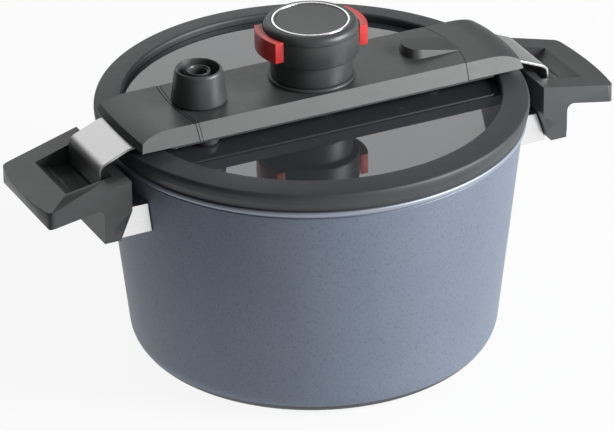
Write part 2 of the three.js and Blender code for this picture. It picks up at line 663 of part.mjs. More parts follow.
function makeKnob() {
  add("knob_collar", turned([
    [19, BAR.top + GAP],
    [KNOB.collarR, BAR.top + GAP],
    [KNOB.collarR, 173.2],
    [KNOB.collarR - 0.5, 173.7],
    [19, 173.7],
  ]), plastic);
  add("knob_pedestal", turned([
    [SPINDLE.r + 0.4, 184.8],
    [21.4, 184.8],
    [21.4, 174],
    [KNOB.pedestalR - 0.5, 174],
    [KNOB.pedestalR, 174.6],
    [KNOB.pedestalR, 187.8],
    [SPINDLE.r + 0.4, 187.8],
  ]), plastic);

  const body = turned([
    [SPINDLE.r + 0.08, KNOB.bodyZ],
    [KNOB.bodyR - 0.4, KNOB.bodyZ],
    [KNOB.bodyR, KNOB.bodyZ + 0.8],
    [KNOB.bodyR, KNOB.capZ - GAP],
    [24, KNOB.capZ - GAP],
    [24, 191.6],
    [9, 191.6],
    [9, 197.6],
    [2.4, 197.6],
    [2.4, SPINDLE.top + GAP],
    [SPINDLE.r + 0.08, SPINDLE.top + GAP],
  ]);
  const lugHole = wedgeArc(22, 30, 0.17, 193.7, 198.3);
  add("knob_body", cut(body, lugHole, mirrored(lugHole)), plastic);

  const pad = wedgeArc(WING.inner, WING.outer, 0.6, WING.bottom, WING.top);
  const between = block(20, 40, -WING.half, WING.half, 180, 210);
  const wing = join(pad.intersect(between), wedgeArc(24.4, WING.inner + 1, 0.15, 194, 198));
  add("grip_wing_left", mirrored(wing), redPlastic);
  add("grip_wing_right", wing, redPlastic);

  add("knob_cap", turned([
    [0, KNOB.capZ],
    [20.4, KNOB.capZ],
    [20.4, 200.6],
    [23.6, 200.6],
    [23.6, KNOB.capZ],
    [KNOB.bodyR - 0.2, KNOB.capZ],
    [KNOB.bodyR - 0.2, KNOB.top - 1.4],
    [KNOB.capR - 0.6, KNOB.top],
    [KNOB.trimOuter + 0.1, KNOB.top],
    [KNOB.trimOuter + 0.1, KNOB.top - 1.3],
    [KNOB.trimInner - 0.1, KNOB.top - 1.3],
    [KNOB.trimInner - 0.1, KNOB.top - 0.1],
    [0, KNOB.top - 0.1],
  ]), plastic);
  const trim = tube(KNOB.trimOuter - 0.2, KNOB.trimInner + 0.2, KNOB.top - 1, KNOB.top + 0.4);
  add("knob_trim_ring", trim, steel);

  const spindle = cut(rod(SPINDLE.r, SPINDLE.bottom, SPINDLE.top), rod(2.1, 184, 200));
  add("spindle", spindle, steel);
  add("knob_screw", join(rod(1.9, 185.5, 198.2), rod(4, 197.9, 200.2)), steel);
}

// ---- Steam valve --------------------------------------------------------------------------------
function makeValve() {
  const at = (shape) => moved(shape, VALVE.x, 0);
  add("valve_cone", at(turned([
    [VALVE.boreR, VALVE.bottom],
    [VALVE.baseR - 0.6, VALVE.bottom],
    [VALVE.baseR, VALVE.bottom + 0.8],
    [VALVE.topR, VALVE.top - 1.2],
    [VALVE.topR - 0.5, VALVE.top - 0.3],
    [VALVE.topR - 1.1, VALVE.top],
    [VALVE.topR - 1.8, VALVE.top - 0.4],
    [11, 181],
    [VALVE.tubeR, 181],
    [VALVE.tubeR, 190],
    [VALVE.boreR, 190],
  ])), plastic);
  add("valve_stem", at(turned([
    [STEM.boreR, STEM.bottom],
    [STEM.r, STEM.bottom],
    [STEM.r, 157],
    [10, 157],
    [10, 159.4],
    [STEM.r, 159.4],
    [STEM.r, STEM.top],
    [STEM.boreR, STEM.top],
  ], FACETS.small)), brass);
  add("valve_gasket", at(tube(9.6, STEM.r + 0.4, GLASS.top + GAP, 156.7, FACETS.small)), silicone);
  add("valve_nut", at(cut(hexagon(17, 146.4, 150.8), rod(STEM.r + 0.3, 140, 155))), brass);
  add("valve_pin", at(turned([
    [0, 147],
    [2.2, 147],
    [2.2, STEM.top + 0.4],
    [4.5, STEM.top + 0.4],
    [4.5, 183],
    [3.6, 184],
    [0, 184],
  ], FACETS.small)), steel);
}

makePot();
makeHandles();
makeLid();
makeBar();
makeSpring();
makeHooks();
makeKnob();
makeValve();

export default root;
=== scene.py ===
"""The looks of a pressure canner: a coated pot with two drop handles and a glass lid under a cross bar.

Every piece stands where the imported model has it. Sizes here are in millimetres and are turned into
metres when a piece is finished.
"""

import json
import math

import bmesh
import bpy
from mathutils import Matrix, Vector


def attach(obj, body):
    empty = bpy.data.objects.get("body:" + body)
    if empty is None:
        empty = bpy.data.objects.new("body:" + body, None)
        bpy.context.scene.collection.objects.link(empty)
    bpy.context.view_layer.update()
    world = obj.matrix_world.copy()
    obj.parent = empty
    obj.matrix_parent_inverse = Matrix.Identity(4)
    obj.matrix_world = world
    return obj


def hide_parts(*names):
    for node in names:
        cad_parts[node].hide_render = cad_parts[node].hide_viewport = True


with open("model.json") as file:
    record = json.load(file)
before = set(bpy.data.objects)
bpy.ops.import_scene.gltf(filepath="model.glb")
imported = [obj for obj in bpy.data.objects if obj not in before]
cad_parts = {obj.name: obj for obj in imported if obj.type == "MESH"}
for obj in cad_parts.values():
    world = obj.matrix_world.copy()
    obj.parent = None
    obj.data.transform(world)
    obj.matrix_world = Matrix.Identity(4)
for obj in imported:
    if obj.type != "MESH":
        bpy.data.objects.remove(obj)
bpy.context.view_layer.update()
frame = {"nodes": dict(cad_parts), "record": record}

MM = 0.001
ROUND = 160  # steps round the pot, its base plate, and the lid's ring and seal
FINE = 96  # steps round the knob's lid and its bright ring
SMALL = 64  # steps round most of the other turned pieces

# ---- Sizes of the real thing, in millimetres ---------------------------------------------------
WALL_FOOT, WALL_LEAN = 109.4, 0.1108  # the wall's radius at the floor, and its growth with height
RIM_Z, LIP_R, CREASE_Z = 146, 127.3, 141
RING_R, RING_INNER, RING_TOP = 129, 112.1, 160.2
GLASS_TOP = 155.5
BAR_TOP, BAR_FOOT, BAR_HALF, BAR_FOOT_HALF = 172, 162.8, 27.7, 33
BAR_SKIN = 2
BAR_END, DROOP_START, DROOP = 122.6, 103, 4.6
SEAM_X, SEAM_HALF = 87.3, 30
LEFT_BULGE, RIGHT_BULGE = -3, 5.7  # how far each seam bows along X in the middle
KNOB_R, KNOB_TOP = 28.4, 208.2
WING_INNER, WING_OUTER, WING_HALF = 28.7, 33.3, 14.5
WING_BOTTOM, WING_TOP = 191.7, 204.4
VALVE_X = -73
HOOK_HALF, HOOK_THICK, HOOK_START = 22, 1.5, 84


# ---- Shader maths ------------------------------------------------------------------------------
class Value:
    """One output in a finish's nodes, which adds and multiplies as a number does."""

    def __init__(self, finish, socket):
        self.finish = finish
        self.socket = socket

    def maths(self, operation, first, second=0.0):
        return self.finish.node("ShaderNodeMath", {"operation": operation}, {0: first, 1: second})

    def __add__(self, other):
        return self.maths("ADD", self, other)

    def __sub__(self, other):
        return self.maths("SUBTRACT", self, other)

    def __rsub__(self, other):
        return self.maths("SUBTRACT", other, self)

    def __mul__(self, other):
        return self.maths("MULTIPLY", self, other)

    def __pow__(self, other):
        return self.maths("POWER", self, other)

    __radd__ = __add__
    __rmul__ = __mul__


class Finish:
    """A material: constants sit on the shader, and what changes over the surface is linked in."""

    def __init__(self, name, constants):
        self.material = bpy.data.materials.new(name)
        self.material.use_nodes = True
        self.tree = self.material.node_tree
        self.shader = self.tree.nodes["Principled BSDF"]
        for socket, value in constants.items():
            self.shader.inputs[socket].default_value = value
        self.place = self.node("ShaderNodeTexCoord", output="Object")

    def node(self, kind, settings=None, inputs=None, output=0):
        made = self.tree.nodes.new(kind)
        for name, value in (settings or {}).items():
            if name == "stops":
                self.set_stops(made.color_ramp, value)
            else:
                setattr(made, name, value)
        for name, value in (inputs or {}).items():
            if isinstance(value, Value):
                self.tree.links.new(value.socket, made.inputs[name])
            else:
                made.inputs[name].default_value = value
        return Value(self, made.outputs[output])

    @staticmethod
    def set_stops(ramp, stops):
        while len(ramp.elements) < len(stops):
            ramp.elements.new(1.0)
        for element, (position, shade) in zip(ramp.elements, stops):
            element.position = position
            element.color = (*shade, 1.0)

    def paint(self, socket, value):
        self.tree.links.new(value.socket, self.shader.inputs[socket])

    def noise(self, grain_mm, detail, stretch=(1, 1, 1)):
        """Soft noise whose grains are about that many millimetres across."""
        scale = [s / (grain_mm * MM) for s in stretch]
        spot = self.node("ShaderNodeMapping", {}, {"Vector": self.place, "Scale": scale})
        return self.node("ShaderNodeTexNoise", {}, {"Vector": spot, "Scale": 1.0, "Detail": detail})

    def flakes(self, size_mm):
        """A random shade for each of many small cells."""
        cells = {"Vector": self.place, "Scale": 1 / (size_mm * MM)}
        return self.node("ShaderNodeTexVoronoi", {}, cells, output="Color")

    def ramp(self, value, *stops):
        return self.node("ShaderNodeValToRGB", {"stops": stops}, {"Fac": value})

    def mix(self, share, first, second):
        settings = {"data_type": "RGBA"}
        return self.node("ShaderNodeMix", settings, {0: share, 6: first, 7: second}, output=2)

    def between(self, value, low, high):
        """The value, from 0 at low to 1 at high."""
        inputs = {"Value": value, "From Min": low, "From Max": high}
        return self.node("ShaderNodeMapRange", {"interpolation_type": "SMOOTHSTEP"}, inputs)

    def bump(self, height, depth_mm, strength):
        inputs = {"Strength": strength, "Distance": depth_mm * MM, "Height": height}
        self.paint("Normal", self.node("ShaderNodeBump", {}, inputs))

    def axis(self, name):
        return self.node("ShaderNodeSeparateXYZ", {}, {"Vector": self.place}, output=name)


# ---- Finishes ----------------------------------------------------------------------------------
def grey(shade):
    return (shade, shade, shade)


def pot_coating():
    """Fine sparkling blue-grey coat outside, a dark speckled one inside, and a painted highlight on the
    rim band.
    """
    made = Finish("pot_coating", {"Specular IOR Level": 0.4})
    cloud = made.noise(40, 3)
    outside = made.ramp(cloud, (0.3, (0.12, 0.148, 0.198)), (0.7, (0.136, 0.162, 0.212)))
    fine = made.ramp(made.flakes(0.42), (0.0, grey(0.0)), (0.5, grey(0.08)), (1.0, grey(0.42)))
    outside = made.mix(fine, outside, (0.2, 0.23, 0.29, 1))
    pores = made.ramp(made.noise(1.5, 4), (0.34, grey(0.28)), (0.46, grey(0.0)))
    outside = made.mix(pores, outside, (0.045, 0.056, 0.082, 1))
    radius = (made.axis("X") ** 2 + made.axis("Y") ** 2) ** 0.5
    height = made.axis("Z")
    wall = WALL_FOOT * MM + height * WALL_LEAN
    within = made.between(wall - radius, 1.5 * MM, 2.5 * MM) * made.between(height, 3 * MM, 5 * MM)
    speck = made.ramp(made.flakes(1.6), (0.0, grey(0.0)), (0.9, grey(0.0)), (1.0, grey(0.3)))
    inside = made.mix(speck, (0.022, 0.023, 0.026, 1), (0.2, 0.2, 0.22, 1))
    # The band round the rim is painted lighter all round, a painted highlight where the lip catches the
    # light; it is also made more metallic.
    rim = made.between(height, (CREASE_Z + 1.6) * MM, (CREASE_Z + 2.2) * MM)
    outside_with_rim_highlight = made.mix(rim * 0.85, outside, (0.32, 0.35, 0.41, 1))
    made.paint("Base Color", made.mix(within, outside_with_rim_highlight, inside))
    made.paint("Metallic", 0.2 + rim * 0.5)
    made.paint("Roughness", 0.42 + made.noise(1.2, 2) * 0.14)
    grain = made.noise(0.7, 3) + made.noise(2.2, 1) * 0.6
    made.bump(grain * (1 - within * 0.85), 0.05, 0.55)
    return made.material


def moulded(name, dark, light, rough, texture_mm=0.35, coat=0.0):
    """Satin moulded plastic or silicone with a fine spark-eroded grain and faint flow marks."""
    made = Finish(name, {"Coat Weight": coat, "Coat Roughness": 0.3})
    flow = made.noise(26, 3, (1, 1, 2))
    made.paint("Base Color", made.ramp(flow, (0.3, dark), (0.72, light)))
    made.paint("Roughness", rough - 0.05 + made.noise(5, 3) * 0.1)
    made.bump(made.noise(texture_mm, 2) + made.noise(7, 1) * 0.5, 0.02, 0.5)
    return made.material


def polished(name, shade, rough, along=(1, 14, 14)):
    """Steel with fine lines left by polishing."""
    made = Finish(name, {"Metallic": 1.0})
    lines = made.noise(9, 4, along)
    tone = made.ramp(lines, (0.25, grey(shade * 0.9)), (0.75, grey(shade)))
    made.paint("Base Color", tone)
    made.paint("Roughness", rough - 0.04 + lines * 0.1)
    made.bump(lines, 0.012, 0.35)
    return made.material


def turned_metal(name, tint, rough):
    """Metal with the rings that turning leaves, centred on Z."""
    made = Finish(name, {"Metallic": 1.0})
    ring_mm = 0.6
    radius = (made.axis("X") ** 2 + made.axis("Y") ** 2) ** 0.5
    turns = radius * (2 * math.pi / (ring_mm * MM))
    rings = made.node("ShaderNodeMath", {"operation": "SINE"}, {0: turns})
    smear = made.noise(12, 4)
    made.paint("Base Color", made.ramp(smear, (0.3, [t * 0.82 for t in tint]), (0.7, tint)))
    made.paint("Roughness", rough + smear * 0.12)
    made.bump(rings, 0.01, 0.3)
    return made.material


def smoked_glass():
    constants = {"Transmission Weight": 0.35, "IOR": 1.8, "Base Color": (0.045, 0.053, 0.057, 1)}
    made = Finish("smoked_glass", constants)
    made.paint("Roughness", made.noise(40, 2) * 0.03)
    return made.material


FINISHES = {
    "pot_coating": pot_coating(),
    "black_plastic": moulded("black_plastic", (0.038, 0.042, 0.042), (0.048, 0.053, 0.053), rough=0.4),
    "grey_silicone": moulded(
        "grey_silicone", (0.026, 0.03, 0.032), (0.035, 0.039, 0.041), rough=0.52, texture_mm=0.5,
    ),
    "red_plastic": moulded(
        "red_plastic", (0.5, 0.03, 0.028), (0.56, 0.038, 0.034), rough=0.36, texture_mm=0.3, coat=0.1,
    ),
    "polished_steel": polished("polished_steel", 0.88, 0.25),
    "satin_steel": polished("satin_steel", 0.58, 0.36, (14, 1, 14)),
    "plain_steel": turned_metal("plain_steel", (0.62, 0.63, 0.64), 0.28),
    "brass": turned_metal("brass", (0.72, 0.56, 0.27), 0.22),
    "tinted_glass": smoked_glass(),
}
SLOT_OF = {row["node"]: row["material_slot"] for row in frame["record"]["subparts"]}
BODY_OF = {n: body for body, nodes in frame["record"]["behaviour"]["bodies"].items() for n in nodes}


# ---- Mesh tools --------------------------------------------------------------------------------
def finish_piece(bm, name, node, sharp=32, stands_for=True, slot=None):
    """Turns the mesh into a piece in place of a node: same body, same slot, metres."""
    bmesh.ops.transform(bm, matrix=Matrix.Scale(MM, 4), verts=bm.verts)
    mesh = bpy.data.meshes.new(name)
    bm.to_mesh(mesh)
    bm.free()
    mesh.polygons.foreach_set("use_smooth", [True] * len(mesh.polygons))
    mesh.set_sharp_from_angle(angle=math.radians(sharp))
    piece = bpy.data.objects.new(name, mesh)
    bpy.context.scene.collection.objects.link(piece)
    slot = slot or SLOT_OF[node]
    mesh.materials.append(FINISHES[slot])
    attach(piece, BODY_OF[node])
    if stands_for:
        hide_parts(node)
    return piece


def wire(bm, points, closed):
    """Vertices and edges through (x, z) points. A third number rounds that corner by so much."""
    verts = [bm.verts.new((p[0], 0, p[1])) for p in points]
    pairs = list(zip(verts, verts[1:]))
    if closed:
        pairs.append((verts[-1], verts[0]))
    for a, b in pairs:
        bm.edges.new((a, b))
    cuts = sorted({p[2] for p in points if len(p) > 2})
    for reach in cuts:
        corners = [v for v, p in zip(verts, points) if len(p) > 2 and p[2] == reach]
        steps = 3 if reach < 2 else 10
        bmesh.ops.bevel(
            bm, geom=corners, offset=reach, offset_type="OFFSET", affect="VERTICES",
            segments=steps, profile=0.5, material=-1, clamp_overlap=False,
        )


def turned(name, node, profile, steps=SMALL, at=(0, 0), **more):
    """A profile of (radius, height) points spun round Z. It starts and ends on the axis or closes."""
    bm = bmesh.new()
    closed = not (profile[0][0] == 0 and profile[-1][0] == 0)
    wire(bm, profile, closed)
    geometry = bm.verts[:] + bm.edges[:]
    bmesh.ops.spin(
        bm, geom=geometry, cent=(0, 0, 0), axis=(0, 0, 1),
        angle=2 * math.pi, steps=steps, use_merge=True,
    )
    bmesh.ops.remove_doubles(bm, verts=bm.verts, dist=0.001)
    bmesh.ops.recalc_face_normals(bm, faces=bm.faces)
    bmesh.ops.translate(bm, vec=(*at, 0), verts=bm.verts)
    finish_piece(bm, name, node, **more)


def soften(bm, reach, steps, least_angle):
    """Rounds the edges that turn by more than an angle."""
    edges = [e for e in bm.edges if e.is_manifold and e.calc_face_angle() > math.radians(least_angle)]
    bmesh.ops.bevel(
        bm, geom=edges, offset=reach, offset_type="OFFSET", affect="EDGES",
        segments=steps, profile=0.5, material=-1, clamp_overlap=True,
    )


def round_over(piece, width_mm, segments=3, angle=30, limit="ANGLE"):
    """A live bevel, on every edge sharper than an angle or on the edges that carry a weight."""
    bevel = piece.modifiers.new("edges", "BEVEL")
    bevel.width = width_mm * MM
    bevel.segments = segments
    bevel.limit_method = limit
    bevel.angle_limit = math.radians(angle)
    bevel.harden_normals = True


def from_node(name, node, reach, least_angle, shortest, wide=lambda edge: False):
    """A node's own shape, merged into clean faces.

    Its longer edges are rounded, the wide ones twice as much.
    """
    bm = bmesh.new()
    bm.from_mesh(frame["nodes"][node].data)
    bmesh.ops.transform(bm, matrix=Matrix.Scale(1 / MM, 4), verts=bm.verts)
    bmesh.ops.remove_doubles(bm, verts=bm.verts, dist=0.002)
    bmesh.ops.dissolve_limit(bm, angle_limit=math.radians(1), verts=bm.verts, edges=bm.edges)
    weight = bm.edges.layers.float.new("bevel_weight_edge")
    for edge in bm.edges:
        turns = edge.is_manifold and edge.calc_face_angle() > math.radians(least_angle)
        if turns and (edge.calc_length() > shortest or wide(edge)):
            edge[weight] = 1.0 if wide(edge) else 0.5
    round_over(finish_piece(bm, name, node), 2 * reach, limit="WEIGHT")


# ---- Pot ---------------------------------------------------------------------------------------
def wall_r(z):
    return WALL_FOOT + WALL_LEAN * z


def make_pot():
    thick, floor = 4.2, 7
    turned("pot_shell", "pot_body", [
        (0, 1.5),
        (90.3, 1.5, 0.3),
        (90.3, 0, 0.4),
        (WALL_FOOT, 0, 15.86),
        (wall_r(CREASE_Z), CREASE_Z, 0.25),
        (wall_r(CREASE_Z) - 0.5, CREASE_Z + 0.5, 0.2),
        (LIP_R, CREASE_Z + 2.4, 0.7),
        (LIP_R, RIM_Z, 0.8),
        (wall_r(RIM_Z) - thick, RIM_Z, 0.8),
        (WALL_FOOT - thick + 0.8, floor, 12.1),
        (0, floor),
    ], steps=ROUND, sharp=50)


def make_base_plate():
    """The steel disc under the pot, with rings turned into it."""
    first, pitch, deep = 18, 12.5, 0.45
    grooves = []
    for ring in range(6):
        r = first + pitch * ring
        grooves += [(r, 0, 0.1), (r + 0.3, deep), (r + 1.5, deep), (r + 1.8, 0, 0.1)]
    rim = [(90, 0, 0.3), (90, 1.2, 0.3), (0, 1.2)]
    turned("base_plate", "base_disc", [(0, 0), *grooves, *rim], steps=ROUND)


# ---- Handles and brackets ----------------------------------------------------------------------
def end_edge(edge):
    """Whether an edge is the one between the grip's top and its outer end."""
    near_end, near_top, upward = 183, 136, 0.9
    middle = (edge.verts[0].co + edge.verts[1].co) / 2
    slopes = [f.normal.z for f in edge.link_faces]
    return abs(middle.x) > near_end and middle.z > near_top and max(slopes) > upward


def make_handles():
    for side in ("left", "right"):
        from_node("grip_" + side, "handle_" + side, 0.9, least_angle=24, shortest=3, wide=end_edge)
        from_node("bracket_block_" + side, "bracket_" + side, 0.7, least_angle=30, shortest=8)


# ---- Lid ---------------------------------------------------------------------------------------
def make_lid():
    turned("rim_ring", "lid_ring", [
        (124.5, 146.5, 0.3),
        (126.3, 146.5, 0.5),
        (128.6, 152, 0.5),
        (RING_R, 155.6, 0.8),
        (RING_R - 0.6, 158.2, 1.1),
        (RING_INNER + 1, RING_TOP, 0.8),
        (RING_INNER, 158.8, 0.5),
        (RING_INNER, GLASS_TOP + 0.3),
        (117.3, GLASS_TOP + 0.3),
        (117.3, 150.9),
        (113, 150.9),
        (113, 149.3),
        (124.5, 149.3),
    ], steps=ROUND)
    turned("lip_seal", "rim_seal", [
        (117, 139, 0.4),
        (119.4, 139, 0.8),
        (120.1, 140.5, 0.5),
        (120.4, 146.4),
        (124.2, 146.4, 0.3),
        (124.2, 149, 0.3),
        (114, 149, 0.3),
        (114, 146.8, 0.3),
        (117, 146.4, 0.3),
    ], steps=ROUND)
    turned("hub", "lid_hub", [
        (0, 142), (7.9, 142, 0.6), (7.9, 157.4), (17, 157.4, 0.4), (17, 160.7, 0.4),
        (4.25, 160.7), (4.25, 154), (0, 154),
    ])
    for name, outer, bottom, top in (("top", 16, 155.8, 157.1), ("bottom", 13, 149.7, 150.9)):
        turned("gasket_" + name, "hub_gasket_" + name, [
            (8.3, bottom), (outer, bottom, 0.4), (outer, top, 0.4), (8.3, top),
        ])
    for side, x, reach, r in (("left", -79, 22, 7.5), ("right", 68, 14, 9)):
        for where, y in (("front", -reach), ("back", reach)):
            turned("pad_" + side + "_" + where, "foot_" + side + "_" + where, [
                (0, 155.8), (r - 0.6, 155.8, 0.3), (r, 157, 0.4), (r, 160.7, 0.3), (0, 160.7),
            ], steps=40, at=(x, y))


# ---- Bar ---------------------------------------------------------------------------------------
TOP_ROWS = [i / 5 for i in range(-5, 6)]  # shares of the half width, across the top
SINK_LEAN = 0.6  # how much of a groove's depth the top's edges move in


def bar_section(top, sink=0.0):
    """(y, z) points across the bar, from the front foot over the top to the back foot."""
    flare = (BAR_FOOT_HALF - BAR_HALF) / (BAR_TOP - BAR_FOOT)
    half = BAR_FOOT_HALF - flare * (top - BAR_FOOT) - sink * SINK_LEAN
    foot = BAR_FOOT_HALF - sink
    return [(-foot, BAR_FOOT), *((half * s, top - sink) for s in TOP_ROWS), (foot, BAR_FOOT)]


def next_vert(old, fresh):
    """The new vertex that an extrusion made from an old one."""
    neighbours = [e.other_vert(old) for e in old.link_edges]
    return next(v for v in neighbours if v in fresh)


def bar_length(bm, stations, end_bow=0.0, crown=0.0):
    """Sweeps the section along X. A station is (x, top, sink, bulge of the seam there).

    The end wall bows out by end_bow in the middle, and the top there rises by crown.
    """
    fullness = 2.4  # above 2, the bow is flatter than a parabola
    loop = None
    for x, top, sink, bulge in stations:
        points = bar_section(top, sink)
        if loop is None:
            loop = [bm.verts.new((x, 0, 0)) for _ in points]
            edges = [bm.edges.new(pair) for pair in zip(loop, loop[1:])]
        else:
            made = bmesh.ops.extrude_edge_only(bm, edges=edges)["geom"]
            edges = [g for g in made if isinstance(g, bmesh.types.BMEdge)]
            fresh = {g for g in made if isinstance(g, bmesh.types.BMVert)}
            loop = [next_vert(old, fresh) for old in loop]
            edges = [bm.edges.get(pair) for pair in zip(loop, loop[1:])]
        for vert, (y, z) in zip(loop, points):
            seam_bow = 1 - min(1, abs(y) / SEAM_HALF) ** 2
            out = max(0, (abs(x) - DROOP_START) / (BAR_END - DROOP_START))
            round_off = 1 - abs(y / BAR_FOOT_HALF) ** fullness
            bow = math.copysign(end_bow * out * round_off, x)
            vert.co = (x + bulge * seam_bow + bow, y, z)
            if z > BAR_FOOT:
                vert.co.z += crown * out * round_off


def bar_end_stations():
    """The end of the bar, where its top curves down and then turns into the end wall."""
    steps, bend, wall_lean, foot_gap = 8, 115.6, 1.6, 0.02
    stations = []
    for i in range(steps + 1):
        t = i / steps
        x = (1 - t) ** 2 * DROOP_START + 2 * t * (1 - t) * bend + t * t * BAR_END
        stations.append((x, BAR_TOP - DROOP * t * t, 0, 0))
    stations.append((BAR_END + wall_lean, BAR_FOOT + foot_gap, 0, 0))
    return stations


def shell(bm, thick):
    """Gives an open skin its wall, inwards."""
    merge = 0.03  # joins the end wall's corners to the foot
    bmesh.ops.remove_doubles(bm, verts=bm.verts, dist=merge)
    bmesh.ops.recalc_face_normals(bm, faces=bm.faces)
    if sum((f.normal.z for f in bm.faces), 0) < 0:
        bmesh.ops.reverse_faces(bm, faces=bm.faces)
    bmesh.ops.solidify(bm, geom=bm.faces[:], thickness=thick)


def bar_skin(name, node, stations, edge, **ends):
    """One length of the bar's moulding: a thin wall, with its edges rounded."""
    bm = bmesh.new()
    bar_length(bm, stations, **ends)
    shell(bm, BAR_SKIN)
    round_over(finish_piece(bm, name, node), edge)


def make_bar():
    groove = 0.3
    left_gap, right_gap = 0.5, 0.35
    groove_steps = [(0, 0), (1.3, 0), (1.45, groove), (1.75, groove), (1.9, 0)]
    cover = [(-SEAM_X + along, BAR_TOP, depth, LEFT_BULGE) for along, depth in groove_steps]
    cover += [(x, BAR_TOP, 0, 0) for x in (-60, 0, 60)]
    cover.append((SEAM_X, BAR_TOP, 0, RIGHT_BULGE))
    bar_skin("bar_top", "bar_cover", cover, 0.35)

    end = bar_end_stations()
    left = [(-SEAM_X - left_gap, BAR_TOP, 0, LEFT_BULGE)]
    left += [(-x, top, sink, bulge) for x, top, sink, bulge in end]
    bar_skin("left_cap", "end_cap_left", left, 0.5, end_bow=1.5)

    right = [(SEAM_X + right_gap, BAR_TOP, 0, RIGHT_BULGE), *end]
    bar_skin("right_cap", "end_cap_right", right, 0.5, end_bow=3.4, crown=0.7)
    make_tongue()
    make_bar_plate()


def make_bar_plate():
    """The flat plate that closes the bar from below."""
    length, width, thick, middle_z, corner = 214, 64.4, 1.5, 161.75, 4
    bm = bmesh.new()
    bmesh.ops.create_cube(bm, size=1, matrix=Matrix.Diagonal((length, width, thick, 1)))
    upright = [e for e in bm.edges if abs(e.verts[0].co.z - e.verts[1].co.z) > thick / 2]
    bmesh.ops.bevel(
        bm, geom=upright, offset=corner, offset_type="OFFSET", affect="EDGES",
        segments=8, profile=0.5, material=-1,
    )
    bmesh.ops.translate(bm, vec=(0, 0, middle_z), verts=bm.verts)
    round_over(finish_piece(bm, "bar_plate", "bar_base"), 0.3)


def curve(first, bend, last, steps):
    """Points along a quadratic curve, its first one left out."""
    points = []
    for i in range(1, steps + 1):
        t = i / steps
        shares = ((1 - t) ** 2, 2 * t * (1 - t), t * t)
        x, y = (sum(s * p[k] for s, p in zip(shares, (first, bend, last))) for k in (0, 1))
        points.append((x, y))
    return points


def make_tongue():
    """The thumb tongue on the right cap: blunt and tallest at its tip, and flush with the cap behind."""
    tip, corner, side, half, root = 59.6, (61.8, 8), 68.5, 10.9, 95
    bottom, foot, height, fall = BAR_TOP - 0.3, BAR_TOP - 0.25, 5.9, 1.3
    draft, draft_height, tip_draft, crest_round = 2.0, 3, 1.2, 2.3
    bend = (corner[0] + 1.4, half)
    near = [(side, half), *curve((side, half), bend, corner, 6)]
    near += curve(corner, (tip, corner[1] / 2), (tip, 0), 6)
    outline = [(root, half), *near, *((x, -y) for x, y in reversed(near[:-1])), (root, -half)]
    bm = bmesh.new()
    face = bm.faces.new([bm.verts.new((x, y, bottom)) for x, y in outline])
    made = bmesh.ops.extrude_face_region(bm, geom=[face])["geom"]
    top = [v for v in made if isinstance(v, bmesh.types.BMVert)]
    for vert in top:
        away = max(0, vert.co.x - tip) / (root - tip)
        rise = height * (1 - away ** fall)
        vert.co.z = foot + rise
        vert.co.y *= 1 - draft / half * min(1, rise / draft_height)
        vert.co.x += tip_draft * (1 - away)
    bmesh.ops.recalc_face_normals(bm, faces=bm.faces)
    rim = [e for e in bm.edges if all(v in top for v in e.verts)]
    crest = [e for e in rim if min(v.co.x for v in e.verts) < root - 1]
    bmesh.ops.bevel(
        bm, geom=crest, offset=crest_round, offset_type="OFFSET", affect="EDGES",
        segments=5, profile=0.5, material=-1, clamp_overlap=True,
    )
    finish_piece(bm, "cap_tongue", "end_cap_right", stands_for=False)


# ---- Hooks -------------------------------------------------------------------------------------
def make_hooks():
    """The two bent steel hooks, each reaching down into its grip, and their racks."""
    line = [
        (HOOK_START, 164), (112.3, 164, 1.2), (115.6, 161.7, 1.2), (127.4, 161.7, 1.9),
        (131.5, 160.1, 1.9), (143.9, 154.8, 1.3), (146.1, 152.8, 1.0), (146.6, 150.8, 0.9),
        (146.6, 138, 1.4), (141.4, 138),
    ]
    for side in ("left", "right"):
        bm = bmesh.new()
        wire(bm, line, False)
        bmesh.ops.translate(bm, vec=(0, -HOOK_HALF, 0), verts=bm.verts)
        made = bmesh.ops.extrude_edge_only(bm, edges=bm.edges[:])["geom"]
        far = [v for v in made if isinstance(v, bmesh.types.BMVert)]
        bmesh.ops.translate(bm, vec=(0, 2 * HOOK_HALF, 0), verts=far)
        if side == "left":
            bmesh.ops.scale(bm, vec=(-1, 1, 1), verts=bm.verts)
        bmesh.ops.recalc_face_normals(bm, faces=bm.faces)
        piece = finish_piece(bm, "lid_hook_" + side, "hook_" + side)
        wall = piece.modifiers.new("sheet", "SOLIDIFY")
        wall.thickness = HOOK_THICK * MM
        wall.offset = 0
        wall.use_even_offset = True
        round_over(piece, 0.3, segments=2, angle=50)
        make_rack(side)


def make_rack(side):
    """The toothed arm that reaches from a hook to the pinion."""
    module, pitch_r, teeth, first_tooth = 0.8, 6.4, 10, -5.5
    foot_half, crest_half, deep, free_end = 0.9, 0.25, 6.6, 12
    bottom, thick = 163.3, 1.4
    pitch = math.pi * module
    tip, root = -pitch_r + module, -pitch_r - 1.25 * module
    outline = [(-HOOK_START, root)]
    for tooth in range(teeth):
        x = (tooth + first_tooth) * pitch
        outline += [(x - foot_half, root), (x - crest_half, tip)]
        outline += [(x + crest_half, tip), (x + foot_half, root)]
    outline += [(free_end, root), (free_end, root - deep), (-HOOK_START, root - deep)]
    turn = 1 if side == "left" else -1
    bm = bmesh.new()
    face = bm.faces.new([bm.verts.new((x * turn, y * turn, bottom)) for x, y in outline])
    made = bmesh.ops.extrude_face_region(bm, geom=[face])["geom"]
    top = [v for v in made if isinstance(v, bmesh.types.BMVert)]
    bmesh.ops.translate(bm, vec=(0, 0, thick), verts=top)
    bmesh.ops.recalc_face_normals(bm, faces=bm.faces)
    finish_piece(bm, "rack_" + side, "hook_" + side, stands_for=False, slot="plain_steel")


